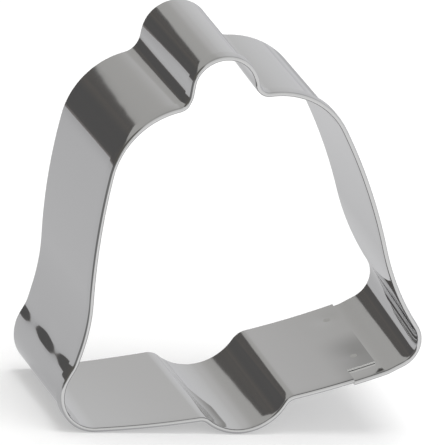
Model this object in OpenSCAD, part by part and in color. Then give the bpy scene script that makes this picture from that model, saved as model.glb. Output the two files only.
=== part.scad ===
// Bell cookie cutter: one hemmed strip of stainless sheet, bent to a bell and spot welded at a lap.
// The outline is drawn on the strip's inner face, the shape that the cutter cuts, as a chain of
// arcs that run into each other without a corner. Its x axis joins the centres of the two lips, its
// y axis is the bell's own, and z runs from the cutting edge to the fold of the hem. Seen from the
// hem, the lap lies right of the clapper, and the lip beside it reaches further out than the left.

/* [Crown and shoulders] */
// Radius of the crown, the small loop on top
crown_r = 4.8; // [4.2:0.1:5.6]
// Turn of the crown from its top to a neck, in degrees
crown_turn = 88.4; // [75:0.1:105]
// Radius of the neck between the crown and a shoulder
neck_r = 2.3; // [1.6:0.1:3]
// Radius of a shoulder
shoulder_r = 12.4; // [11.5:0.1:14]
// Distance of a shoulder's centre from the bell's axis
shoulder_x = 6.3; // [5:0.1:7.5]
// Height of a shoulder's centre above the lip centres
shoulder_z = 30.5; // [29.5:0.5:32]

/* [Flanks and lips] */
// Slope of the left flank where it leaves the shoulder, in degrees from the bell's axis
flank_slope = 17.8; // [16.5:0.1:19.5]
// The same slope of the right flank
lap_flank_slope = 22.1; // [20.5:0.1:23.5]
// Radius of the long outward bow of a flank
flank_r = 95; // [85:1:120]
// Radius of the hollow flare above a lip
flare_r = 35; // [30:1:45]
// Radius of the left lip, the rounded lower corner
lip_r = 5.3; // [4.3:0.1:6]
// Radius of the right lip, beside the lap
lap_lip_r = 3.9; // [3.3:0.1:4.8]
// Distance of the left lip's centre from the bell's axis
lip_x = 22.4; // [21.5:0.1:23.5]
// The same distance of the right lip
lap_lip_x = 24.2; // [23.3:0.1:25.5]

/* [Bottom and clapper] */
// Radius of the bottom line, which bows downward
bottom_r = 150; // [110:10:220]
// Radius of the small fillet where the clapper meets the bottom line
root_r = 2.4; // [1:0.1:2.5]
// Radius of the clapper
clapper_r = 7.4; // [6.5:0.1:8.5]
// How far the clapper's centre lies below the lip centres
clapper_drop = 2.7; // [1.8:0.1:3.8]

/* [Strip] */
// Width of the strip once it is hemmed, which is the cutter's depth
depth = 25; // [15:0.5:40]
// Thickness of the sheet
sheet_t = 0.3; // [0.2:0.05:0.6]

/* [Hem] */
// Width of the edge that is folded back outside, measured from the fold
hem_w = 2; // [1.5:0.1:5]
// Clear space inside the folded hem
hem_gap = 0.05; // [0.02:0.01:0.3]

/* [Lap] */
// Distance of the inner end of the strip from the bell's axis
lap_x = 21.9; // [17:0.1:23]
// Length over which the two ends of the strip overlap
lap_l = 4.4; // [3:0.1:7]
// Clear space between the two layers of the lap
lap_gap = 0.02; // [0.01:0.01:0.2]
// How far the inner end is cut back from the hemmed edge, to clear the other end's hem
notch_w = 3.5; // [2:0.1:6]

/* [Spot welds] */
// Diameter of a spot weld
weld_d = 2.2; // [1:0.1:2.8]
// Distance of a spot weld's centre from the nearer end of the lap
weld_inset = 4; // [2:0.5:8]
// How far the electrodes sink a weld's faces below the sheet
weld_sink = 0.04; // [0:0.01:0.08]

/* [Hidden] */
// Facets of a full turn
$fn = 360;
// Facets of a full turn of small round things
fine = 48;
// Largest turn, in degrees, between two points along the edge of an arc's cell
step = 3;
// Margin by which a cutting shape stands past what it cuts
past = 1;
// Margin of an arc's cell beside the sheet
clear = 0.25;
// Thickness of the folded hem
hem_t = 2 * sheet_t + hem_gap;
// How far an arc's cell reaches to both sides of the outline
reach = hem_t + clear;
// How much further out the outer layer of the lap lies
lap_step = sheet_t + lap_gap;
// Thickness of the lap's two layers
lap_t = sheet_t + lap_step;
// Height of the inner end of the strip, from the cutting edge to the notch
tab_h = depth - notch_w;

// The point at distance rp from p and rq from q, to the left of the way from p to q where side is 1
function meet(p, rp, q, rq, side) =
    let (span = norm(q - p))
    let (along = (rp ^ 2 - rq ^ 2 + span ^ 2) / (2 * span))
    let (across = sqrt(rp ^ 2 - along ^ 2))
    let (ahead = (q - p) / span)
    p + along * ahead + side * across * [-ahead.y, ahead.x];

// The same point on the bell's other side
function other(p) = [-p.x, p.y];

// Unit vector in a direction given in degrees
function ray(angle) = [cos(angle), sin(angle)];

// Centre of a flank, worked out on the right side
function flank_centre(slope) = shoulder_at - (flank_r - shoulder_r) * ray(slope);

// Centre of the flare between a flank and a lip, worked out on the right side
function flare_centre(slope, lip, r) =
    meet(flank_centre(slope), flank_r + flare_r, lip, r + flare_r, 1);

// Centre of the fillet between the clapper and the bottom line, worked out on the right side
function root_centre(bottom) = meet(clapper_at, clapper_r + root_r, bottom, bottom_r + root_r, -1);

// Centres of the arcs. The right lip is part of the strip's outer end, so it is larger by the
// step of the lap
shoulder_at = [shoulder_x, shoulder_z];
lip_at = [-lip_x, 0];
lap_lip_at = [lap_lip_x, 0];
clapper_at = [0, -clapper_drop];
bottom_at = meet(lip_at, bottom_r - lip_r, lap_lip_at, bottom_r - lap_lip_r, 1);
end_lip_r = lap_lip_r + lap_step;
neck_x = (crown_r + neck_r) * sin(crown_turn);
neck_at = [neck_x, shoulder_z + sqrt((shoulder_r + neck_r) ^ 2 - (shoulder_x - neck_x) ^ 2)];
crown_at = [0, neck_at.y - (crown_r + neck_r) * cos(crown_turn)];

// Unit vector from the bottom line's centre to its point at distance x from the bell's axis
function bottom_ray(x) =
    let (across = x - bottom_at.x)
    [across, -sqrt(bottom_r ^ 2 - across ^ 2)] / bottom_r;

// The strip as a chain of arcs from its outer end, anticlockwise to the lap's inner layer. Each is
// a centre and a radius, which is negative where the centre lies outside the bell
ARCS = [
    [bottom_at, bottom_r + lap_step],
    [lap_lip_at, end_lip_r],
    [flare_centre(lap_flank_slope, lap_lip_at, end_lip_r), -flare_r],
    [flank_centre(lap_flank_slope), flank_r],
    [shoulder_at, shoulder_r],
    [neck_at, -neck_r],
    [crown_at, crown_r],
    [other(neck_at), -neck_r],
    [other(shoulder_at), shoulder_r],
    [other(flank_centre(flank_slope)), flank_r],
    [other(flare_centre(flank_slope, other(lip_at), lip_r)), -flare_r],
    [lip_at, lip_r],
    [bottom_at, bottom_r],
    [other(root_centre(other(bottom_at))), -root_r],
    [clapper_at, clapper_r],
    [root_centre(bottom_at), -root_r],
    [bottom_at, bottom_r]
];
lap_start = bottom_ray(lap_x - lap_l);
lap_end = bottom_ray(lap_x);

// Outward direction of the outline where one arc runs into the next
function normal_between(arc, next) = (arc[0] - next[0]) / (next[1] - arc[1]);

// The outward directions at the ends of all arcs
NORMALS = concat(
    [lap_start],
    [for (i = [1 : len(ARCS) - 1]) normal_between(ARCS[i - 1], ARCS[i])],
    [lap_start]
);

// The bell stands on its clapper and its left lip, so it leans by their common tangent
lean = atan2(clapper_drop, lip_x) + asin((clapper_r - lip_r) / norm(lip_at - clapper_at));
// How far the outline's origin lies left of the middle of the standing bell
stand_x = ((lap_lip_x - lip_x) * cos(lean) + end_lip_r - lip_r) / 2;
// Height of the outline's origin above the surface that the bell stands on
stand_z = clapper_drop * cos(lean) + clapper_r + hem_t;

// Turn of an arc from one outward direction to the next, in degrees, clockwise on a hollow arc
function turn(from, to, hollow) =
    let (angle = atan2(to.y, to.x) - atan2(from.y, from.x))
    hollow ? (angle > 0 ? angle - 360 : angle) : (angle < 0 ? angle + 360 : angle);

// Points along an arc, at a distance outward of the outline
function along(arc, from, to, outward) =
    let (angle = turn(from, to, arc[1] < 0))
    let (steps = max(1, ceil(abs(angle) / step)))
    let (start = atan2(from.y, from.x))
    concat(
        [arc[0] + (arc[1] + outward) * from],
        [for (i = [1 : 1 : steps - 1]) arc[0] + (arc[1] + outward) * ray(start + angle * i / steps)],
        [arc[0] + (arc[1] + outward) * to]
    );

// A list from its end to its start
function reversed(list) = [for (i = [len(list) - 1 : -1 : 0]) list[i]];

// The cell that holds one arc's stretch of sheet. Its ends are shared with its neighbours' cells
function cell(arc, from, to) =
    concat(along(arc, from, to, -reach), reversed(along(arc, from, to, reach)));

// Moves its children in two steps, coarse and fine, so that arcs meet without a rounding gap
module place(at) {
    coarse = [for (value = at) round(value * 100) / 100];
    translate(coarse)
        translate(at - coarse)
            children();
}

// One arc's stretch of sheet between two distances outward of the outline
module stretch(arc, from, to, low, high) {
    radii = [abs(arc[1] + low), abs(arc[1] + high)];
    intersection() {
        place(arc[0])
            difference() {
                circle(r = max(radii));
                circle(r = min(radii));
            }
        polygon(cell(arc, from, to));
    }
}

// The whole chain between two distances outward of the outline
module band(low, high) {
    for (i = [0 : len(ARCS) - 1])
        stretch(ARCS[i], NORMALS[i], NORMALS[i + 1], low, high);
}

// The sheet from the cutting edge to the fold
module wall() {
    linear_extrude(depth)
        band(0, sheet_t);
}

// The fold at the front, which turns the sheet outward
module fold() {
    translate([0, 0, depth - sheet_t])
        linear_extrude(sheet_t)
            band(0, hem_t);
}

// The edge that is folded back outside the sheet
module folded_edge() {
    translate([0, 0, depth - hem_w])
        linear_extrude(hem_w)
            band(sheet_t + hem_gap, hem_t);
}

// The strip's inner end, with its hem notched away to clear the outer end's hem
module inner_end() {
    linear_extrude(tab_h)
        stretch([bottom_at, bottom_r], lap_start, lap_end, 0, sheet_t);
}

// Puts its children in the middle of the lap, square to the sheet, at a height over the cutting edge
module at_weld(height) {
    place(bottom_at)
        rotate([0, 0, -90 + asin((lap_x - lap_l / 2 - bottom_at.x) / bottom_r)])
            translate([bottom_r, 0, height])
                rotate([0, 90, 0])
                    children();
}

// Stands the bell on its clapper and left lip, with the hem in front
module stand() {
    translate([-stand_x, depth / 2, stand_z])
        rotate([0, -lean, 0])
            rotate([90, 0, 0])
                children();
}

module steel_strip() {
    color("silver")
        stand()
            difference() {
                union() {
                    wall();
                    fold();
                    folded_edge();
                    inner_end();
                }
                for (height = [weld_inset, tab_h - weld_inset])
                    at_weld(height)
                        translate([0, 0, -past])
                            cylinder(h = lap_t + 2 * past, d = weld_d, $fn = fine);
            }
}

module spot_weld(height) {
    color("lightsteelblue")
        stand()
            at_weld(height)
                translate([0, 0, weld_sink])
                    cylinder(h = lap_t - 2 * weld_sink, d = weld_d, $fn = fine);
}

steel_strip();
spot_weld(tab_h - weld_inset);  // spot_weld_front
spot_weld(weld_inset);  // spot_weld_back
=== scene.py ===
"""Looks of a bell-shaped cookie cutter bent from one hemmed strip of polished stainless sheet.

The strip is swept as a single sheet along the bell's outline, with its hem folded back outside, and
then given its thickness. The two ends lap on the bottom, right of the clapper, where two spot welds
hold them. Sizes are in millimetres in the cutter's classes, and in metres in the meshes and the studio.
"""

import logging
import math
from dataclasses import dataclass, field
from enum import Enum

import bmesh
import bpy
from mathutils import Matrix, Vector


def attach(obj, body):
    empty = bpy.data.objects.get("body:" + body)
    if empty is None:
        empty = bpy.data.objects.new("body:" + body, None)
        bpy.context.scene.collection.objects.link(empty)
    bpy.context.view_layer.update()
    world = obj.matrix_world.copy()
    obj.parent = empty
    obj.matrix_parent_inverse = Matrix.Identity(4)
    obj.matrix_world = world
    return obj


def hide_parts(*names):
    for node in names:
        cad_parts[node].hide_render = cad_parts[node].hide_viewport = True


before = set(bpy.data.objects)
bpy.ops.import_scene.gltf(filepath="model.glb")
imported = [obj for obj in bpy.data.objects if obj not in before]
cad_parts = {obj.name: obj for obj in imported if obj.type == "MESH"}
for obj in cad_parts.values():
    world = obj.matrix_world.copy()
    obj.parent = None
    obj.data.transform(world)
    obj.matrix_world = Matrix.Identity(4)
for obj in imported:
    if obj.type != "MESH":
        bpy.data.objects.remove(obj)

log = logging.getLogger("bell_cutter")

MM = 0.001
ROOT = "root"
WHITE = (1.0, 1.0, 1.0, 1.0)
BLACK = (0.0, 0.0, 0.0, 1.0)
MERGE = 1e-7
CRISP_DEG = 40

Point = tuple[float, float]
Colour = tuple[float, float, float]
Stops = tuple[tuple[float, Colour], ...]
Socket = bpy.types.NodeSocket
Tree = bpy.types.NodeTree


# Small helpers


def unit(x: float, y: float) -> Point:
    """The unit vector along x, y."""
    size = math.hypot(x, y)
    return (x / size, y / size)


def meet(p: Point, rp: float, q: Point, rq: float, side: int) -> Point:
    """Finds a point by its distances from two others.

    Args:
        p: The first point.
        rp: The distance from it.
        q: The second point.
        rq: The distance from it.
        side: 1 for the point left of the way from p to q, -1 for the one right of it.

    Returns:
        The point.
    """
    span = math.hypot(q[0] - p[0], q[1] - p[1])
    along = (rp**2 - rq**2 + span**2) / (2 * span)
    across = side * math.sqrt(rp**2 - along**2)
    ahead = unit(q[0] - p[0], q[1] - p[1])
    return (p[0] + along * ahead[0] - across * ahead[1], p[1] + along * ahead[1] + across * ahead[0])


def smooth(x: float) -> float:
    """A smooth step from 0 at x = 0 to 1 at x = 1."""
    x = min(1.0, max(0.0, x))
    return x * x * (3 - 2 * x)


def linear(hex_colour: str) -> tuple[float, float, float, float]:
    """Turns an sRGB hex colour into linear values.

    Args:
        hex_colour: Six hex digits, such as "8f9091".

    Returns:
        Red, green, blue and an alpha of 1.
    """
    values = [int(hex_colour[i : i + 2], 16) / 255 for i in (0, 2, 4)]
    lin = [v / 12.92 if v <= 0.04045 else ((v + 0.055) / 1.055) ** 2.4 for v in values]
    return (lin[0], lin[1], lin[2], 1.0)


def link_object(name: str, data: bpy.types.ID) -> bpy.types.Object:
    """A new object with this data, linked to the scene."""
    obj = bpy.data.objects.new(name, data)
    bpy.context.scene.collection.objects.link(obj)
    return obj


def plain_mesh(name: str, corners: list[Vector]) -> bpy.types.Object:
    """A flat object with one face through these corners, in metres."""
    mesh = bpy.data.meshes.new(name)
    mesh.from_pydata(corners, [], [tuple(range(len(corners)))])
    return link_object(name, mesh)


def close_and_face_out(obj: bpy.types.Object) -> None:
    """Merges doubles, points the faces outward and keeps cut edges crisp under smooth shading.

    Args:
        obj: The object whose mesh is a closed shell.
    """
    shell = bmesh.new()
    shell.from_mesh(obj.data)
    bmesh.ops.remove_doubles(shell, verts=shell.verts, dist=MERGE)
    bmesh.ops.recalc_face_normals(shell, faces=shell.faces)
    if shell.calc_volume(signed=True) < 0:
        bmesh.ops.reverse_faces(shell, faces=shell.faces)
    open_edges = sum(1 for e in shell.edges if len(e.link_faces) != 2)
    for face in shell.faces:
        face.smooth = True
    for edge in shell.edges:
        if len(edge.link_faces) == 2:
            edge.smooth = edge.calc_face_angle(0.0) < math.radians(CRISP_DEG)
    shell.to_mesh(obj.data)
    shell.free()
    triangles = sum(len(p.vertices) - 2 for p in obj.data.polygons)
    log.info("%s: %d triangles, %d open edges", obj.name, triangles, open_edges)


# Node helpers


def add_node(tree: Tree, kind: str, links: dict | None = None, **settings: object) -> bpy.types.Node:
    """Adds a node with its settings, input values and links.

    Args:
        tree: The node tree.
        kind: The node's type name.
        links: Input names or numbers, each with an output socket to link or a value to set.
        **settings: Properties of the node itself.

    Returns:
        The new node.
    """
    node = tree.nodes.new(kind)
    for name, value in settings.items():
        setattr(node, name, value)
    for key, value in (links or {}).items():
        socket = node.inputs[key]
        if isinstance(value, Socket):
            tree.links.new(value, socket)
        else:
            socket.default_value = value
    return node


def math_node(tree: Tree, operation: str, *values: object) -> Socket:
    """A math node's result."""
    return add_node(tree, "ShaderNodeMath", dict(enumerate(values)), operation=operation).outputs[0]


def mix_colours(tree: Tree, share: Socket, first: object, second: object) -> Socket:
    """A mix of two colours, wholly the second where the share is 1."""
    return add_node(tree, "ShaderNodeMix", {0: share, 6: first, 7: second}, data_type="RGBA").outputs[2]


def parts_of(tree: Tree, vector: Socket) -> list[Socket]:
    """A vector's x, y and z."""
    return list(add_node(tree, "ShaderNodeSeparateXYZ", {0: vector}).outputs)


def ramp(tree: Tree, measure: Socket, stops: Stops) -> Socket:
    """Adds a colour ramp with a smooth curve through its stops.

    Args:
        tree: The node tree.
        measure: What the colour follows, from 0 to 1.
        stops: Each place on the way with its colour.

    Returns:
        The colour.
    """
    node = add_node(tree, "ShaderNodeValToRGB", {0: measure})
    bar = node.color_ramp
    bar.interpolation = "B_SPLINE"
    while len(bar.elements) < len(stops):
        bar.elements.new(0.5)
    for element, (position, colour) in zip(bar.elements, stops):
        element.position = position
        element.color = (*colour, 1.0)
    return node.outputs[0]


def new_material(name: str) -> tuple[bpy.types.Material, Tree]:
    """A material without nodes, and its node tree."""
    material = bpy.data.materials.new(name)
    material.use_nodes = True
    material.node_tree.nodes.clear()
    return material, material.node_tree


class Course(Enum):
    """How a value changes on its way."""

    STRAIGHT = "LINEAR"
    SMOOTH = "SMOOTHSTEP"


@dataclass(frozen=True)
class Fade:
    """A change from a start to an end while a measure runs from low to high. It holds beyond both."""

    low: float
    high: float
    start: float = 0.0
    end: float = 1.0
    course: Course = Course.SMOOTH

    def of(self, tree: Tree, measure: Socket) -> Socket:
        """The value for a measure."""
        links = {"Value": measure, "From Min": self.low, "From Max": self.high}
        links |= {"To Min": self.start, "To Max": self.end}
        return add_node(tree, "ShaderNodeMapRange", links, interpolation_type=self.course.value).outputs[0]


# The outline


@dataclass(frozen=True)
class Arc:
    """One arc of the outline. The radius is negative where the centre lies outside the bell."""

    centre: Point
    radius: float

    def flipped(self) -> "Arc":
        """The same arc on the bell's other side."""
        return Arc((-self.centre[0], self.centre[1]), self.radius)


@dataclass(frozen=True)
class Span:
    """The part of an arc that the outline runs along, from one angle on by a turn."""

    arc: Arc
    first: float
    turn: float
    start: float

    @property
    def length(self) -> float:
        """Length of the span."""
        return abs(self.turn * self.arc.radius)

    def at(self, share: float) -> tuple[Point, Point]:
        """The point and the outward direction at a share of the span."""
        angle = self.first + self.turn * share
        ray = (math.cos(angle), math.sin(angle))
        centre, radius = self.arc.centre, self.arc.radius
        return (centre[0] + radius * ray[0], centre[1] + radius * ray[1]), ray


@dataclass(frozen=True)
class BellHalf:
    """One half of the bell, with its lip at positive x."""

    neck_r: float
    shoulder: Point
    shoulder_r: float
    flank_r: float
    flank_turn: float
    lip: Point
    lip_r: float
    flare_r: float
    bottom_r: float
    root_r: float

    def arcs(self, crown: Arc, clapper: Arc) -> list[Arc]:
        """The arcs between the crown and the clapper, each running into the next without a corner.

        Args:
            crown: The loop on top.
            clapper: The clapper, seen from this half.

        Returns:
            Neck, shoulder, flank, flare, lip, bottom line and root.
        """
        neck = meet(crown.centre, crown.radius + self.neck_r, self.shoulder, self.shoulder_r + self.neck_r, 1)
        reach = self.flank_r - self.shoulder_r
        flank = (
            self.shoulder[0] - reach * math.cos(self.flank_turn),
            self.shoulder[1] - reach * math.sin(self.flank_turn),
        )
        flare = meet(flank, self.flank_r + self.flare_r, self.lip, self.lip_r + self.flare_r, 1)
        bottom = (0.0, self.lip[1] + math.sqrt((self.bottom_r - self.lip_r) ** 2 - self.lip[0] ** 2))
        root = meet(clapper.centre, self.root_r + clapper.radius, bottom, self.bottom_r + self.root_r, -1)
        return [
            Arc(neck, -self.neck_r),
            Arc(self.shoulder, self.shoulder_r),
            Arc(flank, self.flank_r),
            Arc(flare, -self.flare_r),
            Arc(self.lip, self.lip_r),
            Arc(bottom, self.bottom_r),
            Arc(root, -self.root_r),
        ]


@dataclass
class BellOutline:
    """The bell's outline on the strip's inner face, clockwise from the top of the crown.

    A mark is a place on it: the number of an arc and the share of that arc. Two outlines with the
    same arcs answer to the same marks, which is how the back edge differs a little from the rim.
    """

    crown: Arc
    clapper: Arc
    right: BellHalf
    left: BellHalf
    step_deg: float = 3.0
    step_mm: float = 0.5
    least_turn: float = 1e-9
    halvings: int = 40
    spans: list[Span] = field(default_factory=list)

    def __post_init__(self) -> None:
        """Chains the arcs, each from one common tangent to the next."""
        right = self.right.arcs(self.crown, self.clapper)
        left = self.left.arcs(self.crown, self.clapper.flipped())
        chain = [self.crown, *right, self.clapper, *(arc.flipped() for arc in reversed(left)), self.crown]
        rays = [(0.0, 1.0)]
        for a, b in zip(chain[:-1], chain[1:]):
            gap = b.radius - a.radius
            rays.append(((a.centre[0] - b.centre[0]) / gap, (a.centre[1] - b.centre[1]) / gap))
        rays.append((0.0, 1.0))
        start = 0.0
        for arc, ray, last in zip(chain, rays[:-1], rays[1:]):
            first = math.atan2(ray[1], ray[0])
            turn = math.atan2(last[1], last[0]) - first
            # clockwise on the bell's own arcs, the other way on the hollow ones
            side = 1 if arc.radius > 0 else -1
            if turn * side > self.least_turn:
                turn -= side * 2 * math.pi
            self.spans.append(Span(arc, first, turn, start))
            start += self.spans[-1].length

    @property
    def length(self) -> float:
        """Length once round the bell."""
        return self.spans[-1].start + self.spans[-1].length

    def marks(self) -> list[float]:
        """Lists marks close enough together to draw every arc smoothly.

        Returns:
            The marks in the outline's order.
        """
        marks: list[float] = []
        for number, span in enumerate(self.spans):
            need = max(abs(math.degrees(span.turn)) / self.step_deg, span.length / self.step_mm)
            steps = max(2, math.ceil(need))
            marks += [number + i / steps for i in range(steps)]
        return marks

    def mark_of(self, way: float) -> float:
        """Finds a place on the outline.

        Args:
            way: The distance along the outline.

        Returns:
            The mark.
        """
        way %= self.length
        for number, span in enumerate(self.spans):
            if way < span.start + span.length:
                return number + max(0.0, way - span.start) / span.length
        return 0.0

    def way_of(self, mark: float) -> float:
        """The distance along the outline of a mark."""
        span = self.spans[int(mark)]
        return span.start + (mark - int(mark)) * span.length

    def at(self, mark: float) -> tuple[Point, Point]:
        """The point and the outward direction at a mark."""
        return self.spans[int(mark)].at(mark - int(mark))

    def bottom_mark(self, x: float) -> float:
        """Finds a place on the right bottom line by halving.

        Args:
            x: Where the place lies.

        Returns:
            The mark.
        """
        bottom = 6
        low, high = 0.0, 1.0
        for _ in range(self.halvings):
            middle = (low + high) / 2
            low, high = (middle, high) if self.at(bottom + middle)[0][0] > x else (low, middle)
        return bottom + low


def rim_outline() -> BellOutline:
    """The outline at the folded rim, a little uneven as a hand-bent strip is."""
    return BellOutline(
        crown=Arc((0.0, 21.990), 4.814),
        clapper=Arc((-0.289, -25.732), 7.452),
        right=BellHalf(
            neck_r=2.412, shoulder=(6.469, 7.613), shoulder_r=12.038, flank_r=93.238, flank_turn=0.3506,
            lip=(23.442, -23.813), lip_r=3.719, flare_r=42.462, bottom_r=148.134, root_r=2.555,
        ),
        left=BellHalf(
            neck_r=2.315, shoulder=(6.449, 7.780), shoulder_r=12.118, flank_r=112.202, flank_turn=0.3168,
            lip=(22.766, -23.000), lip_r=5.317, flare_r=28.290, bottom_r=155.489, root_r=2.277,
        ),
    )


def edge_outline() -> BellOutline:
    """The outline at the cutting edge, which is softer in its corners because the sheet sprang open."""
    return BellOutline(
        crown=Arc((0.0, 21.559), 5.089),
        clapper=Arc((-0.467, -24.928), 7.931),
        right=BellHalf(
            neck_r=3.800, shoulder=(6.083, 6.987), shoulder_r=12.577, flank_r=84.468, flank_turn=0.4082,
            lip=(23.847, -22.951), lip_r=4.118, flare_r=44.046, bottom_r=137.433, root_r=3.146,
        ),
        left=BellHalf(
            neck_r=3.241, shoulder=(6.973, 7.944), shoulder_r=11.816, flank_r=90.256, flank_turn=0.3432,
            lip=(22.311, -22.826), lip_r=5.825, flare_r=30.994, bottom_r=274.815, root_r=2.667,
        ),
    )


@dataclass(frozen=True)
class Stance:
    """How the bell stands: on its clapper and its left lip, hem in front, centred over the origin."""

    outline: BellOutline
    depth: float
    reach: float

    @property
    def lean(self) -> float:
        """Lean about the depth axis, in radians, by the common tangent of the clapper and the left lip."""
        lip, clapper = self.outline.left.lip, self.outline.clapper
        across, down = clapper.centre[0] + lip[0], lip[1] - clapper.centre[1]
        rise = math.asin((clapper.radius - self.outline.left.lip_r) / math.hypot(across, down))
        return math.atan2(down, across) + rise

    @property
    def shift(self) -> Point:
        """How far the leaning bell moves to stand on the floor with equal reach left and right."""
        cos, sin = math.cos(self.lean), math.sin(self.lean)
        x = []
        for mark in self.outline.marks():
            p, n = self.outline.at(mark)
            x.append((p[0] + self.reach * n[0]) * cos - (p[1] + self.reach * n[1]) * sin)
        clapper = self.outline.clapper
        low = clapper.centre[0] * sin + clapper.centre[1] * cos - clapper.radius - self.reach
        return (-(min(x) + max(x)) / 2, -low)

    def matrix(self) -> Matrix:
        """From the bell's own frame (x right, y up, z from the fold to the cutting edge) to the floor's."""
        x, z = self.shift
        upright = Matrix(((1, 0, 0, 0), (0, 0, 1, 0), (0, 1, 0, 0), (0, 0, 0, 1)))
        move = Matrix.Translation((x * MM, -self.depth / 2 * MM, z * MM))
        return move @ Matrix.Rotation(-self.lean, 4, "Y") @ upright


# The strip


@dataclass(frozen=True)
class Ripple:
    """A shallow crease that hand bending left across the strip, deeper and shallower along its way."""

    way: float
    width: float
    slope_deg: float
    swing_deg: float
    pitch: float
    crest: float


@dataclass
class HemmedStrip:
    """The strip of sheet: cutting edge, wall, fold, hem and lap."""

    rim: BellOutline = field(default_factory=rim_outline)
    edge: BellOutline = field(default_factory=edge_outline)
    depth: float = 25.0
    sheet_t: float = 0.3
    hem_w: float = 2.0
    fold_gap: float = 0.10
    rim_flare: float = 0.05
    rim_reach: float = 2.0
    hem_spring: float = 0.06
    lap_x: float = 21.2
    lap_l: float = 4.4
    lap_gap: float = 0.06
    sink_ahead: float = 3.6
    sink_l: float = 3.1
    notch_w: float = 3.5
    weld_inset: float = 4.0
    weld_r: float = 1.1
    dent_depth: float = 0.06
    dent_r: float = 1.8
    lip_ripple: Ripple = Ripple(129.6, 1.75, -5.7, -2.4, 11.0, 13.8)
    neck_ripple: Ripple = Ripple(179.2, 1.6, -8.5, -4.5, 50.0, 0.0)
    # how close together the rows and the columns of the sweep lie
    row_gap: float = 0.06
    lap_rows: int = 20
    ripple_rows: int = 12
    ripple_split: int = 5
    fine_step: float = 0.3
    wall_steps: tuple[float, float, float] = (0.8, 0.9, 0.5)
    weld_zone: float = 2.0
    fold_steps: int = 14

    @property
    def fold_r(self) -> float:
        """Radius of the fold in the middle of the sheet."""
        return (self.sheet_t + self.fold_gap) / 2

    @property
    def rim_t(self) -> float:
        """Thickness of the rim over the hem's free edge, which sprang open a little."""
        return 2 * self.sheet_t + self.fold_gap + self.hem_spring

    @property
    def lap_marks(self) -> tuple[float, float]:
        """Marks of the inner end and of the outer end."""
        return self.rim.bottom_mark(self.lap_x), self.rim.bottom_mark(self.lap_x - self.lap_l)

    @property
    def weld_depths(self) -> tuple[float, float]:
        """Depth of the front and of the back weld from the fold."""
        return self.notch_w + self.weld_inset, self.depth - self.weld_inset

    def run_of(self, way: float) -> float:
        """Distance along the strip from its inner end of a way along the outline."""
        return (way - self.rim.way_of(self.lap_marks[0])) % self.rim.length

    def guide(self) -> list[tuple[tuple[Point, Point], tuple[Point, Point], float]]:
        """The way of the strip's inner face from its inner end round to its outer end.

        Returns:
            For each row of the sweep, the point and the outward direction at the rim, the same at the
            cutting edge, and the distance run.
        """
        start, end = (self.rim.way_of(mark) for mark in self.lap_marks)
        length = self.rim.length
        total = length + end - start
        ways = [self.rim.way_of(mark) for mark in self.rim.marks()]
        runs = {w - start for w in ways if w > start} | {w - start + length for w in ways if w < end}
        lap = {self.lap_l * i / self.lap_rows for i in range(self.lap_rows + 1)}
        runs |= lap | {total - run for run in lap}
        for ripple in (self.lip_ripple, self.neck_ripple):
            numbers = range(-self.ripple_rows, self.ripple_rows + 1)
            runs |= {self.run_of(ripple.way) + ripple.width * i / self.ripple_split for i in numbers}
        rows = []
        last = -1.0
        for run in sorted(runs):
            if run - last < self.row_gap:
                if run not in (self.lap_l, total):
                    continue
                if rows:
                    rows.pop()
            mark = self.rim.mark_of(start + run)
            # the outer end steps outward to lie behind the inner end
            sunk = smooth((run - (length - self.sink_ahead)) / self.sink_l)
            sink = (self.sheet_t + self.lap_gap) * sunk
            row = []
            for outline in (self.rim, self.edge):
                point, outward = outline.at(mark)
                row.append(((point[0] + sink * outward[0], point[1] + sink * outward[1]), outward))
            rows.append((row[0], row[1], run))
            last = run
        return rows

    def wall_out(self, y: float) -> float:
        """Where the middle of the wall lies outward of the outline: it flares a little to the rim."""
        flare = self.rim_flare * max(0.0, 1 - y / self.rim_reach) ** 2
        return self.sheet_t / 2 + flare - self.rim_flare * (1 - y / self.depth)

    def section(self) -> list[tuple[float, float, float]]:
        """The way through the middle of the sheet from the cutting edge round the fold to the hem's edge.

        Returns:
            For each column of the sweep, the distance outward, the depth from the fold and the run.
        """
        first, second = self.weld_depths
        fine, zone = self.fine_step, self.weld_zone
        back, middle, front = self.wall_steps
        knots = [
            (self.depth, fine), (self.depth - fine, back), (second + zone, fine), (second - zone, middle),
            (first + zone, fine), (first - zone, front), (self.notch_w, fine),
            (self.sheet_t / 2 + self.fold_r, 0.0),
        ]
        stations: list[Point] = []
        for (high, step), (low, _) in zip(knots[:-1], knots[1:]):
            count = max(1, round((high - low) / step))
            depths = [high - (high - low) * i / count for i in range(count)]
            stations += [(self.wall_out(y), y) for y in depths]
        radius = self.fold_r
        centre = (self.wall_out(knots[-1][0]) + radius, knots[-1][0])
        for i in range(self.fold_steps + 1):
            angle = math.pi * (1 + i / self.fold_steps)
            stations.append((centre[0] + radius * math.cos(angle), centre[1] + radius * math.sin(angle)))
        rest = self.hem_w - centre[1]
        count = max(1, round(rest / fine))
        for share in (i / count for i in range(1, count + 1)):
            spring = self.hem_spring * (1 - (1 - share) ** 2)
            stations.append((centre[0] + radius + spring, centre[1] + rest * share))
        run, columns = 0.0, []
        for i, (out, y) in enumerate(stations):
            if i:
                run += math.hypot(out - stations[i - 1][0], y - stations[i - 1][1])
            columns.append((out, y, run))
        return columns

    def weld_place(self, deep: float) -> tuple[Point, Point]:
        """Finds a weld's place in the middle of the lap.

        Args:
            deep: The weld's depth from the fold.

        Returns:
            The point on the inner face and the outward direction.
        """
        mark = self.rim.mark_of(self.rim.way_of(self.lap_marks[0]) + self.lap_l / 2)
        share = deep / self.depth
        (p, n), (q, m) = self.rim.at(mark), self.edge.at(mark)
        out = self.wall_out(deep) - self.sheet_t / 2
        normal = unit(n[0] + share * (m[0] - n[0]), n[1] + share * (m[1] - n[1]))
        x, y = (p[i] + share * (q[i] - p[i]) + out * normal[i] for i in (0, 1))
        return (x, y), normal


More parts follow.
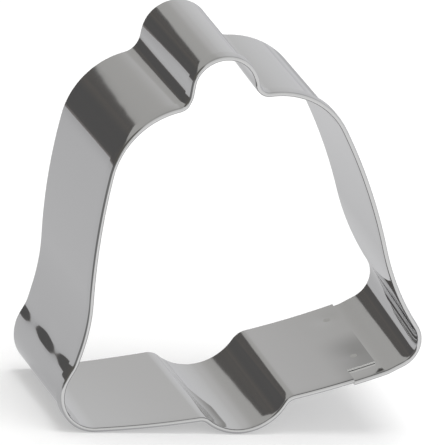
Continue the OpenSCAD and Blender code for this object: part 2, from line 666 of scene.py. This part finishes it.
def table_mesh(name: str, rows: list[dict[str, object]]) -> bpy.types.Object:
    """A helper object whose points carry the values that a sweep reads by number.

    Args:
        name: The object's name.
        rows: The named values, vectors or numbers, of each point.

    Returns:
        The object, linked to the scene.
    """
    mesh = bpy.data.meshes.new(name)
    mesh.from_pydata([(i * MM, 0, 0) for i in range(len(rows))], [], [])
    for key, value in rows[0].items():
        kind = "FLOAT_VECTOR" if isinstance(value, Vector) else "FLOAT"
        data = mesh.attributes.new(key, kind, "POINT").data
        for i, row in enumerate(rows):
            setattr(data[i], "vector" if kind == "FLOAT_VECTOR" else "value", row[key])
    return link_object(name, mesh)


class SweepTree:
    """The geometry nodes that sweep a sheet's section between its two guides and dent it at the welds."""

    RIPPLES = ("Lip", "Neck")
    SIZES = ("run", "width", "slope", "swing", "pitch", "crest")
    KINDS = {float: "Float", int: "Int", bpy.types.Object: "Object", bpy.types.Material: "Material"}

    def __init__(self, carrier: bpy.types.Object, values: dict[str, object]) -> None:
        """Builds the tree and adds it to an object as a modifier.

        Args:
            carrier: The object that carries the guide.
            values: The tree's inputs with their values.
        """
        self.tree = bpy.data.node_groups.new("sheet sweep", "GeometryNodeTree")
        face = self.tree.interface
        face.new_socket("Geometry", in_out="OUTPUT", socket_type="NodeSocketGeometry")
        face.new_socket("Geometry", in_out="INPUT", socket_type="NodeSocketGeometry")
        inputs = {}
        for name, value in values.items():
            kind = f"NodeSocket{self.KINDS[type(value)]}"
            inputs[name] = face.new_socket(name, in_out="INPUT", socket_type=kind).identifier
        self._build()
        modifier = carrier.modifiers.new("sweep", "NODES")
        modifier.node_group = self.tree
        for name, value in values.items():
            modifier[inputs[name]] = value

    def _math(self, operation: str, *values: object) -> Socket:
        """A math node's result."""
        return math_node(self.tree, operation, *values)

    def _vector(self, operation: str, *values: object) -> Socket:
        """A vector math node's result. The number that scales a vector is the fourth value of the node."""
        links = dict(zip((0, 3) if operation == "SCALE" else (0, 1), values))
        return add_node(self.tree, "ShaderNodeVectorMath", links, operation=operation).outputs[0]

    def _named(self, name: str, kind: str) -> Socket:
        """A named value of the geometry that the node works on."""
        node = add_node(self.tree, "GeometryNodeInputNamedAttribute", {"Name": name}, data_type=kind)
        return node.outputs[0]

    def _sample(self, geometry: Socket, name: str, at: Socket, kind: str = "FLOAT") -> Socket:
        """A named value of the helper's point with this number."""
        links = {"Geometry": geometry, "Value": self._named(name, kind), "Index": at}
        return add_node(self.tree, "GeometryNodeSampleIndex", links, data_type=kind).outputs[0]

    def _ripple(self, place: str, given: object, run: Socket, deep: Socket) -> Socket:
        """How far a ripple pushes the sheet outward.

        Args:
            place: The ripple's name.
            given: The tree's inputs.
            run: The distance along the strip.
            deep: The depth from the fold.

        Returns:
            The push: a slope through the ripple's middle that fades on both sides.
        """
        at, width, slope, swing, pitch, crest = (given[f"{place} ripple {size}"] for size in self.SIZES)
        off = self._math("SUBTRACT", run, at)
        way = self._math("DIVIDE", off, width)
        fade = self._math("EXPONENT", self._math("MULTIPLY", self._math("MULTIPLY", way, way), -1.0))
        turn = self._math("DIVIDE", self._math("SUBTRACT", deep, crest), pitch)
        swell = self._math("COSINE", self._math("MULTIPLY", turn, 2 * math.pi))
        steep = self._math("MULTIPLY_ADD", swell, swing, slope)
        return self._math("MULTIPLY", self._math("MULTIPLY", off, fade), steep)

    def _swept(self, given: object, row: Socket, out: Socket, deep: Socket) -> tuple[Socket, Socket]:
        """Places the points between the guide's rim and its cutting edge.

        Args:
            given: The tree's inputs.
            row: The number of the guide's point.
            out: The distance outward of the guide.
            deep: The depth from the fold.

        Returns:
            The place on the sheet, and its outward direction.
        """
        ends = []
        for name in ("rim", "edge"):
            place = self._sample(given["Geometry"], name, row, "FLOAT_VECTOR")
            outward = self._sample(given["Geometry"], name + "_outward", row, "FLOAT_VECTOR")
            ends.append((self._vector("ADD", place, self._vector("SCALE", outward, out)), outward))
        (front, outward), (back, _) = ends
        share = self._math("DIVIDE", deep, given["Depth"])
        across_way = self._vector("SCALE", self._vector("SUBTRACT", back, front), share)
        depth_way = add_node(self.tree, "ShaderNodeCombineXYZ", {2: deep}).outputs[0]
        return self._vector("ADD", self._vector("ADD", front, across_way), depth_way), outward

    def _build(self) -> None:
        """Makes the nodes: grid, place by guide and section, waves, ripples, dents, notch and material."""
        tree = self.tree
        given = add_node(tree, "NodeGroupInput").outputs
        size = {"Size X": 1.0, "Size Y": 1.0, "Vertices X": given["Rows"], "Vertices Y": given["Columns"]}
        grid = add_node(tree, "GeometryNodeMeshGrid", size).outputs["Mesh"]
        index = add_node(tree, "GeometryNodeInputIndex").outputs[0]
        row = self._math("FLOOR", self._math("DIVIDE", self._math("ADD", index, 0.5), given["Columns"]))
        column = self._math("SUBTRACT", index, self._math("MULTIPLY", row, given["Columns"]))
        section = add_node(tree, "GeometryNodeObjectInfo", {"Object": given["Section"]}).outputs["Geometry"]
        out, deep, across = (self._sample(section, name, column) for name in ("out", "deep", "run"))
        run = self._sample(given["Geometry"], "run", row)
        swept, outward = self._swept(given, row, out, deep)
        scale = self._math("DIVIDE", 1.0, given["Wave length"])
        waves = {"Vector": swept, "W": given["Seed"], "Scale": scale, "Detail": 1.0}
        noise = add_node(tree, "ShaderNodeTexNoise", waves, noise_dimensions="4D").outputs[0]
        push = self._math("MULTIPLY", self._math("SUBTRACT", noise, 0.5), given["Wave"])
        for place in self.RIPPLES:
            push = self._math("ADD", push, self._ripple(place, given, run, deep))
        # each weld's electrodes pressed the inner end outward and the outer end inward
        for weld_run, side in ((given["Weld inner run"], 1.0), (given["Weld outer run"], -1.0)):
            for weld_deep in (given["Weld front"], given["Weld back"]):
                squares = []
                for at, middle in ((run, weld_run), (deep, weld_deep)):
                    off = self._math("DIVIDE", self._math("SUBTRACT", at, middle), given["Dent radius"])
                    squares.append(self._math("MULTIPLY", off, off))
                dent = self._math("EXPONENT", self._math("MULTIPLY", self._math("ADD", *squares), -1.0))
                pressed = self._math("MULTIPLY", dent, side)
                push = self._math("MULTIPLY_ADD", pressed, given["Dent depth"], push)
        final = self._vector("ADD", swept, self._vector("SCALE", outward, push))
        placed = add_node(tree, "GeometryNodeSetPosition", {"Geometry": grid, "Position": final}).outputs[0]
        # the strip's own map: along it and across it, in metres
        flat = add_node(tree, "ShaderNodeCombineXYZ", {0: run, 1: across}).outputs[0]
        mapped = add_node(
            tree, "GeometryNodeStoreNamedAttribute",
            {"Geometry": placed, "Name": "strip_map", "Value": flat},
            data_type="FLOAT_VECTOR", domain="POINT",
        ).outputs[0]
        # the notch: the inner end's fold and hem are cut away where the outer end lies over it
        along, over, _ = parts_of(tree, self._named("strip_map", "FLOAT_VECTOR"))
        ahead = self._math("LESS_THAN", along, given["Notch run"])
        beyond = self._math("GREATER_THAN", over, given["Notch start"])
        gone = add_node(tree, "FunctionNodeBooleanMath", {0: ahead, 1: beyond}, operation="AND").outputs[0]
        notch = {"Geometry": mapped, "Selection": gone}
        cut = add_node(tree, "GeometryNodeDeleteGeometry", notch, domain="FACE", mode="ALL").outputs[0]
        real = add_node(tree, "GeometryNodeRealizeInstances", {0: cut}).outputs[0]
        finish = {"Geometry": real, "Material": given["Material"]}
        add_node(tree, "NodeGroupOutput", {0: add_node(tree, "GeometryNodeSetMaterial", finish).outputs[0]})


# Finishes


class Grain(Enum):
    """What left its marks in a surface."""

    ROLLED = "fine lines along the strip"
    PRESSED = "fine matt mottling"


@dataclass(frozen=True)
class SteelFinish:
    """A finish of stainless steel. Line, swell and mottle give a size, then a second size or a height."""

    name: str
    colour: str
    roughness: float
    grain: Grain
    rough_swing: Point = (0.85, 1.25)
    marks_range: Point = (0.3, 0.7)
    line_mm: Point = (12.0, 0.12)
    swell_mm: Point = (7.0, 0.006)
    mottle_mm: Point = (0.25, 0.002)
    # painted shade: how much the inner end of the sheet is greyed, and over which runs along and across the
    # strip
    shade: float = 0.30
    painted_shade_run_mm: Point = (1.0, 7.5)
    painted_shade_over_mm: Point = (9.0, 15.0)

    def _painted_end_shade(self, tree: Tree, strip: Socket) -> Socket:
        """The sheet's colour with painted shade, a little greyer at the welded inner end.

        Args:
            tree: The material's tree.
            strip: The strip's own map, along it and across it from the cutting edge.

        Returns:
            The colour's socket.
        """
        along, over, _ = parts_of(tree, strip)
        end = Fade(*(v * MM for v in self.painted_shade_run_mm), 1.0, 0.0).of(tree, along)
        half = Fade(*(v * MM for v in self.painted_shade_over_mm), 0.0, self.shade).of(tree, over)
        return mix_colours(tree, math_node(tree, "MULTIPLY", end, half), linear(self.colour), BLACK)

    def make(self) -> bpy.types.Material:
        """Builds the material.

        Returns:
            The material.
        """
        material, tree = new_material(self.name)
        base = {"Base Color": linear(self.colour), "Metallic": 1.0, "Roughness": self.roughness}
        shader = add_node(tree, "ShaderNodeBsdfPrincipled", base)
        add_node(tree, "ShaderNodeOutputMaterial", {"Surface": shader.outputs[0]})
        place = add_node(tree, "ShaderNodeTexCoord").outputs["Object"]
        if self.grain is Grain.ROLLED:
            # rolling lines, drawn about four times as coarse as real ones, which are too fine to show
            strip = add_node(tree, "ShaderNodeAttribute", attribute_name="strip_map").outputs["Vector"]
            scale = (*(1 / (v * MM) for v in self.line_mm), 1.0)
            scaled = add_node(tree, "ShaderNodeMapping", {"Vector": strip, "Scale": scale}).outputs[0]
            grain = {"Vector": scaled, "Scale": 1.0, "Detail": 2.0}
            size, lift = self.swell_mm
            # painted shade on the welded inner end
            tree.links.new(self._painted_end_shade(tree, strip), shader.inputs["Base Color"])
        else:
            size, lift = self.mottle_mm
            grain = {"Vector": place, "Scale": 1 / (size * MM), "Detail": 2.0}
        marks = add_node(tree, "ShaderNodeTexNoise", grain).outputs[0]
        uneven = {"Vector": place, "Scale": 1 / (size * MM), "Detail": 1.0}
        swell = add_node(tree, "ShaderNodeTexNoise", uneven).outputs[0]
        bump = add_node(tree, "ShaderNodeBump", {"Strength": 1.0, "Distance": lift * MM, "Height": swell})
        duller = Fade(*self.marks_range, *(self.roughness * v for v in self.rough_swing), Course.STRAIGHT)
        tree.links.new(duller.of(tree, marks), shader.inputs["Roughness"])
        tree.links.new(bump.outputs[0], shader.inputs["Normal"])
        return material


# Cold rolled, bright annealed and polished: it mirrors its surroundings almost sharply, a little greyer than
# silver. Rolling leaves fine lines along the strip, bending leaves a slight swell in what it mirrors, and
# painted shade makes the welded inner end a little greyer.
ROLLED_SHEET = SteelFinish("polished rolled stainless sheet", "c4c4c4", 0.055, Grain.ROLLED)
# Bare sheared metal: pale and dull, so that a cut edge reads as a thin light line.
SHEARED_EDGE = SteelFinish("sheared sheet edge", "f4f4f2", 0.45, Grain.PRESSED)
# Pressed by a welding electrode: a little duller and darker than the sheet, and finely mottled.
WELD_FACE = SteelFinish("pressed weld face", "bcbcba", 0.2, Grain.PRESSED)


# Sub-assemblies


@dataclass
class StripBuilder:
    """Builds and dresses the steel strip."""

    strip: HemmedStrip
    stance: Stance
    name: str = "hemmed_bell_strip"
    wave_mm: float = 0.02
    wave_length_mm: float = 9.0
    seed: float = 3.0

    def _ripple_values(self, place: str, ripple: Ripple) -> dict[str, float]:
        """A ripple's values for the sweep's inputs."""
        sizes = (
            self.strip.run_of(ripple.way) * MM, ripple.width * MM, math.radians(ripple.slope_deg),
            math.radians(ripple.swing_deg), ripple.pitch * MM, ripple.crest * MM,
        )
        return {f"{place} ripple {size}": value for size, value in zip(SweepTree.SIZES, sizes)}

    def _values(self, total: float) -> dict[str, object]:
        """Gathers the sweep's values apart from its tables.

        Args:
            total: The strip's length along the guide.

        Returns:
            The names of the inputs with their values.
        """
        strip = self.strip
        front, back = strip.weld_depths
        sizes = {
            "Depth": strip.depth, "Notch run": strip.lap_l, "Notch start": strip.depth - strip.notch_w,
            "Weld front": front, "Weld back": back,
            "Weld inner run": strip.lap_l / 2, "Weld outer run": total - strip.lap_l / 2,
            "Dent depth": strip.dent_depth, "Dent radius": strip.dent_r,
            "Wave": self.wave_mm, "Wave length": self.wave_length_mm,
        }
        values = {name: size * MM for name, size in sizes.items()}
        values |= {"Seed": self.seed, "Material": ROLLED_SHEET.make()}
        for place, ripple in (("Lip", strip.lip_ripple), ("Neck", strip.neck_ripple)):
            values |= self._ripple_values(place, ripple)
        return values

    def build(self) -> bpy.types.Object:
        """Sweeps the sheet, gives it its thickness and stands it on the floor.

        Returns:
            The finished strip.
        """
        strip = self.strip
        guide, section = strip.guide(), strip.section()
        rows = [
            {
                "rim": Vector((*p, 0)) * MM, "rim_outward": Vector((*n, 0)),
                "edge": Vector((*q, 0)) * MM, "edge_outward": Vector((*m, 0)), "run": run * MM,
            }
            for (p, n), (q, m), run in guide
        ]
        columns = [{"out": out * MM, "deep": y * MM, "run": run * MM} for out, y, run in section]
        carrier, profile = table_mesh("strip guide", rows), table_mesh("strip section", columns)
        tables = {"Section": profile, "Rows": len(rows), "Columns": len(columns)}
        SweepTree(carrier, tables | self._values(guide[-1][2]))
        bpy.context.view_layer.update()
        sheet_faces = len(carrier.evaluated_get(bpy.context.evaluated_depsgraph_get()).data.polygons)
        thick = carrier.modifiers.new("thickness", "SOLIDIFY")
        thick.thickness = strip.sheet_t * MM
        thick.offset = 0.0
        thick.use_even_offset = True
        thick.use_rim = True
        bpy.context.view_layer.update()
        mesh = bpy.data.meshes.new_from_object(carrier.evaluated_get(bpy.context.evaluated_depsgraph_get()))
        mesh.name = self.name
        polished = mesh.materials[mesh.polygons[0].material_index]
        mesh.materials.clear()
        for material in (polished, SHEARED_EDGE.make()):
            mesh.materials.append(material)
        # the thickness adds the cut edges' faces after both sides of the sheet
        for face in mesh.polygons:
            face.material_index = int(face.index >= 2 * sheet_faces)
        mesh.transform(self.stance.matrix())
        for helper in (carrier, profile):
            bpy.data.objects.remove(helper)
        obj = link_object(self.name, mesh)
        close_and_face_out(obj)
        return obj


@dataclass
class SpotWeld:
    """One spot weld: a nugget through both layers of the lap, with a shallow round face on each side.

    The face is given by shares of the weld's radius, each with how far the face has dropped there.
    """

    strip: HemmedStrip
    stance: Stance
    name: str
    deep: float
    proud: float = 0.01
    rounding: float = 0.05
    face: tuple[Point, ...] = ((0.0, 0.0), (0.5, 0.004), (0.8, 0.012))
    face_drop: float = 0.022
    sides: int = 40

    def _turned(self, profile: list[Point]) -> bpy.types.Mesh:
        """Turns a profile about the z axis into a closed mesh.

        Args:
            profile: The radius and height of each ring. The first and the last radius are 0.

        Returns:
            The mesh.
        """
        shell = bmesh.new()
        turns = [2 * math.pi * i / self.sides for i in range(self.sides)]
        rings = []
        for radius, height in profile:
            spots = [(radius * math.cos(t) * MM, radius * math.sin(t) * MM, height * MM) for t in turns]
            rings.append([shell.verts.new(spot) for spot in (spots if radius else spots[:1])])
        for low, high in zip(rings[:-1], rings[1:]):
            for i in range(self.sides):
                j = (i + 1) % self.sides
                corners = [low[i % len(low)], low[j % len(low)], high[j % len(high)], high[i % len(high)]]
                shell.faces.new(list(dict.fromkeys(corners)))
        mesh = bpy.data.meshes.new(self.name)
        shell.to_mesh(mesh)
        shell.free()
        return mesh

    def build(self) -> bpy.types.Object:
        """Turns the nugget's profile about its axis and stands it in the lap.

        Returns:
            The finished weld.
        """
        strip = self.strip
        point, outward = strip.weld_place(self.deep)
        low = strip.dent_depth - self.proud
        r, c = strip.weld_r, self.rounding
        profile = [(r * share, low + drop) for share, drop in self.face]
        profile += [(r - c, low + self.face_drop), (r, low + c)]
        through = 2 * strip.sheet_t + strip.lap_gap
        profile += [(radius, through - height) for radius, height in reversed(profile)]
        mesh = self._turned(profile)
        along, axis = (-outward[1], outward[0], 0), (*outward, 0)
        place = Matrix([[along[i], (0, 0, 1)[i], axis[i]] for i in range(3)]).to_4x4()
        place.translation = Vector((*point, self.deep)) * MM
        mesh.transform(self.stance.matrix() @ place)
        mesh.materials.append(WELD_FACE.make())
        obj = link_object(self.name, mesh)
        close_and_face_out(obj)
        return obj


# Studio


@dataclass(frozen=True)
class TableTop:
    """A matt white table top that keeps the cutter's shadow, with painted light and shade that only the
    metal's reflections see.

    Fades run in metres along x to the right, along y to the back, or along their sum.
    """

    colour: str = "cdcdcd"
    half: float = 6.0
    camera_glow: float = 0.35
    mirrored_share: float = 0.3
    # painted light for the metal's reflections: glow tones across the table, and a brighter glow in front of
    # the fold
    tone_reach: float = 0.10
    painted_light_tones: tuple[Point, ...] = (
        (-0.09, 0.45), (-0.02, 0.475), (0.0, 0.45), (0.026, 0.45), (0.034, 0.43), (0.042, 0.28), (0.1, 0.25),
    )
    blue: float = 0.01
    front: Fade = Fade(-0.0125, -0.02)
    painted_front_light: float = 0.85
    back: Fade = Fade(0.12, 0.24, 1.0, 0.85)
    corner_left: Fade = Fade(-0.045, -0.07)
    corner_near: Fade = Fade(-0.02, -0.05)
    corner_painted_shade: Fade = Fade(0.0, 1.0, 1.0, 0.05, Course.STRAIGHT)
    lit_right: Fade = Fade(0.08, 0.25)
    lit_back: Fade = Fade(0.0, 0.1)
    painted_light_glow: float = 2.0

    def _mirrored(self, tree: Tree) -> tuple[Socket, Socket]:
        """Paints the light and shade that only the metal's reflections see on the table.

        Args:
            tree: The floor's node tree.

        Returns:
            The colour and the strength.
        """
        x, y, _ = parts_of(tree, add_node(tree, "ShaderNodeTexCoord").outputs["Object"])
        across = Fade(-self.tone_reach, self.tone_reach, course=Course.STRAIGHT).of(tree, x)
        stops = tuple((at / (2 * self.tone_reach) + 0.5, (v, v, v + self.blue)) for at, v in self.painted_light_tones)
        front = (self.painted_front_light, self.painted_front_light, self.painted_front_light, 1.0)
        tone = mix_colours(tree, self.front.of(tree, y), ramp(tree, across, stops), front)
        # painted shade on the front left: the table's glow is dimmed in a corner, which the fold mirrors as a
        # thin dark line
        slant = math_node(tree, "ADD", x, y)
        corner = math_node(tree, "MULTIPLY", self.corner_left.of(tree, x), self.corner_near.of(tree, slant))
        fade = math_node(tree, "MULTIPLY", self.back.of(tree, y), self.corner_painted_shade.of(tree, corner))
        # painted light: the table glows more strongly on its far right
        lit = math_node(tree, "MULTIPLY", self.lit_right.of(tree, x), self.lit_back.of(tree, y))
        return tone, add_node(tree, "ShaderNodeMix", {0: lit, 2: fade, 3: self.painted_light_glow}).outputs[0]

    def build(self) -> None:
        """Makes the floor and its material."""
        corners = [Vector((x * self.half, y * self.half, 0)) for x, y in ((-1, -1), (1, -1), (1, 1), (-1, 1))]
        floor = plain_mesh("floor", corners)
        material, tree = new_material("matt white table top")
        path = add_node(tree, "ShaderNodeLightPath").outputs
        tone, fade = self._mirrored(tree)
        # painted light: the table glows in its painted tones for glossy rays only
        mirrored = math_node(tree, "MULTIPLY", path["Is Glossy Ray"], fade)
        seen = math_node(tree, "MULTIPLY", path["Is Camera Ray"], self.camera_glow)
        glossy = add_node(tree, "ShaderNodeEmission", {"Color": tone, "Strength": mirrored})
        glow = add_node(tree, "ShaderNodeEmission", {"Color": WHITE, "Strength": seen})
        colour = linear(self.colour)
        # painted shade: the metal's reflections see the table's matt colour dimmed to the mirrored share
        dim = (*(c * self.mirrored_share for c in colour[:3]), 1.0)
        shade = mix_colours(tree, path["Is Glossy Ray"], colour, dim)
        matt = add_node(tree, "ShaderNodeBsdfDiffuse", {"Color": shade})
        lit = add_node(tree, "ShaderNodeAddShader", {0: glossy.outputs[0], 1: glow.outputs[0]})
        both = add_node(tree, "ShaderNodeAddShader", {0: matt.outputs[0], 1: lit.outputs[0]})
        add_node(tree, "ShaderNodeOutputMaterial", {"Surface": both.outputs[0]})
        floor.data.materials.append(material)


@dataclass(frozen=True)
class DarkCard:
    """The dark card behind on the left, with its foot on the table and a strip of painted shadow before it.

    Directions are seen from the cutter, in degrees to the right and up. Tones are linear colours.
    """

    eye: float = 0.05
    left: float = -52.0
    right: float = -2.0
    top: tuple[Point, ...] = ((-52.0, 2.0), (-42.0, 8.5), (-31.8, 14.8), (-18.5, 22.4), (-2.0, 24.5))
    shadow_strip_near: float = 0.26
    shadow_strip_far: float = 0.31
    far: float = 0.49
    lift: float = 0.001
    dark: Colour = (0.137, 0.135, 0.133)
    # the tone of the painted shadow strip
    brown: Colour = (0.25, 0.235, 0.228)
    cloud: tuple[Colour, Colour] = ((0.92, 0.92, 0.93), (1.17, 1.11, 1.06))
    patch: Fade = Fade(0.40, 0.66, course=Course.STRAIGHT)

    def _toward(self, azimuth: float, elevation: float, distance: float) -> Vector:
        """A point behind the cutter, by its direction from the cutter and its distance in depth."""
        x = distance * math.tan(math.radians(azimuth))
        rise = math.hypot(x, distance) * math.tan(math.radians(elevation))
        return Vector((x, distance, self.eye + rise))

    def _band(self, near: float, far: float) -> list[Vector]:
        """The corners of a band of the table between two distances, just above it."""
        sides = ((near, self.left), (near, self.right), (far, self.right), (far, self.left))
        spots = [self._toward(azimuth, 0.0, distance) for distance, azimuth in sides]
        return [Vector((p.x, p.y, self.lift)) for p in spots]

    def _card(self, name: str, corners: list[Vector], tone: Colour) -> None:
        """A cloudy cloth card that only the metal sees.

        Args:
            name: The card's name.
            corners: Its corners in metres.
            tone: Its linear colour, as bright as it looks.
        """
        card = plain_mesh(name, corners)
        material, tree = new_material(name)
        # cloudy cloth: a little browner and lighter in patches, which the metal draws out into streaks
        place = add_node(tree, "ShaderNodeTexCoord").outputs["Object"]
        cloud = {"Vector": place, "Scale": 5.0, "Detail": 3.0, "Distortion": 1.2}
        patch = self.patch.of(tree, add_node(tree, "ShaderNodeTexNoise", cloud).outputs[0])
        darker, browner = ((*(c * v for c, v in zip(tone, shares)), 1.0) for shares in self.cloud)
        cloth = mix_colours(tree, patch, darker, browner)
        glow = add_node(tree, "ShaderNodeEmission", {"Color": cloth, "Strength": 1.0})
        add_node(tree, "ShaderNodeOutputMaterial", {"Surface": glow.outputs[0]})
        card.data.materials.append(material)
        card.visible_camera = False
        card.visible_diffuse = False
        card.visible_shadow = False

    def build(self) -> None:
        """Makes the brown strip, the card's foot and the card."""
        foot = self._band(self.far, self.far)
        top = [self._toward(azimuth, elevation, self.far) for azimuth, elevation in self.top]
        # painted shadow: a brownish strip of the table in the dark card's shadow, glowing dimly for the
        # metal's reflections
        self._card("brown strip", self._band(self.shadow_strip_near, self.shadow_strip_far), self.brown)
        self._card("dark card foot", self._band(self.shadow_strip_far, self.far), self.dark)
        self._card("dark card", [foot[0], *top, foot[1]], self.dark)


@dataclass(frozen=True)
class Room:
    """A soft grey studio: lighter to the right, bright and warm in front, white for the camera.

    Fades and stops are given along the parts of a direction, x to the right, y to the back and z up.
    """

    across: Fade = Fade(-0.5, 0.5, course=Course.STRAIGHT)
    behind: Stops = (
        (0.20, (0.56, 0.555, 0.54)), (0.42, (0.575, 0.57, 0.555)), (0.50, (0.59, 0.585, 0.57)),
        (0.585, (0.685, 0.68, 0.675)), (0.66, (0.715, 0.71, 0.705)), (0.70, (0.71, 0.705, 0.70)),
        (0.76, (0.765, 0.765, 0.765)), (0.86, (0.795, 0.795, 0.80)), (0.94, (0.795, 0.795, 0.805)),
        (0.985, (0.74, 0.74, 0.755)),
    )
    high: Fade = Fade(0.55, 0.66, 1.0, 0.8, Course.STRAIGHT)
    front: Stops = (
        (0.0, (2.2, 2.18, 2.14)), (0.40, (2.2, 2.18, 2.14)), (0.50, (0.85, 0.85, 0.84)),
        (0.98, (0.80, 0.80, 0.80)),
    )
    turn: Fade = Fade(0.05, -0.25)
    wall_left: Fade = Fade(-0.5, -0.72)
    wall_low: Fade = Fade(0.80, 0.62)
    wall: tuple[float, float, float, float] = (0.16, 0.155, 0.14, 1.0)

    def build(self) -> None:
        """Makes the world."""
        world = bpy.data.worlds.new("studio")
        bpy.context.scene.world = world
        world.use_nodes = True
        tree = world.node_tree
        tree.nodes.clear()
        x, y, z = parts_of(tree, add_node(tree, "ShaderNodeTexCoord").outputs["Generated"])
        behind = ramp(tree, self.across.of(tree, x), self.behind)
        scale = {0: behind, 3: self.high.of(tree, z)}
        behind = add_node(tree, "ShaderNodeVectorMath", scale, operation="SCALE").outputs[0]
        around = mix_colours(tree, self.turn.of(tree, y), behind, ramp(tree, z, self.front))
        # a dark wall far out on the left
        wall = math_node(tree, "MULTIPLY", self.wall_left.of(tree, x), self.wall_low.of(tree, z))
        around = mix_colours(tree, wall, around, self.wall)
        seen = add_node(tree, "ShaderNodeLightPath").outputs["Is Camera Ray"]
        studio, plain = (
            add_node(tree, "ShaderNodeBackground", {"Color": colour, "Strength": 1.0}).outputs[0]
            for colour in (around, WHITE)
        )
        both = add_node(tree, "ShaderNodeMixShader", {0: seen, 1: studio, 2: plain})
        add_node(tree, "ShaderNodeOutputWorld", {"Surface": both.outputs[0]})


@dataclass(frozen=True)
class PhotoCamera:
    """The camera at the photograph's angle, two metres away with a long lens.

    Its centre in millimetres and its directions are given in the bell's own frame.
    """

    stance: Stance
    centre: tuple[float, float, float] = (-505.604, 819.699, -1740.348)
    right: tuple[float, float, float] = (0.95015785, -0.06433286, -0.30505959)
    down: tuple[float, float, float] = (-0.18192142, -0.90903151, -0.37492174)
    ahead: tuple[float, float, float] = (0.25318899, -0.41173171, 0.87542694)
    focal_px: float = 13411.9
    width_px: int = 440
    sensor_mm: float = 36.0
    clip_end: float = 50.0

    def build(self) -> None:
        """Sets the camera up."""
        turn = self.stance.matrix()
        axes = (Vector(self.right), -Vector(self.down), -Vector(self.ahead))
        columns = [turn.to_3x3() @ axis for axis in axes]
        matrix = Matrix([[c[i] for c in columns] for i in range(3)]).to_4x4()
        matrix.translation = turn @ (Vector(self.centre) * MM)
        data = bpy.data.cameras.new("camera")
        data.sensor_fit = "HORIZONTAL"
        data.sensor_width = self.sensor_mm
        data.lens = self.focal_px / self.width_px * self.sensor_mm
        data.clip_end = self.clip_end
        camera = link_object("camera", data)
        camera.matrix_world = matrix
        bpy.context.scene.camera = camera


@dataclass(frozen=True)
class Softbox:
    """One broad soft lamp overhead, which the metal doesn't mirror."""

    place: tuple[float, float, float] = (0.10, 0.03, 1.2)
    size: float = 0.8
    watts: float = 10.0

    def build(self) -> None:
        """Hangs the lamp."""
        data = bpy.data.lights.new("overhead softbox", "AREA")
        data.shape = "RECTANGLE"
        data.size, data.size_y = self.size, self.size
        data.energy = self.watts
        lamp = link_object("overhead softbox", data)
        place = Vector(self.place)
        lamp.matrix_world = Matrix.Translation(place) @ place.to_track_quat("Z", "Y").to_matrix().to_4x4()
        lamp.visible_glossy = False


def main() -> None:
    """Builds the studio and the cutter."""
    logging.basicConfig(level=logging.INFO, format="%(message)s")
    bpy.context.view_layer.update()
    strip = HemmedStrip()
    stance = Stance(strip.rim, strip.depth, strip.rim_t)
    log.info("lean %.2f degrees, shift %.2f %.2f mm", math.degrees(stance.lean), *stance.shift)
    for thing in (PhotoCamera(stance), TableTop(), DarkCard(), Room(), Softbox()):
        thing.build()
    bpy.context.scene.view_settings.view_transform = "Standard"
    body = StripBuilder(strip, stance).build()
    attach(body, ROOT)
    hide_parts("steel_strip")
    for node, deep in zip(("spot_weld_front", "spot_weld_back"), strip.weld_depths):
        weld = SpotWeld(strip, stance, node.replace("spot_weld", "weld_nugget"), deep).build()
        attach(weld, ROOT)
        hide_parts(node)


if __name__ == "__main__":
    main()
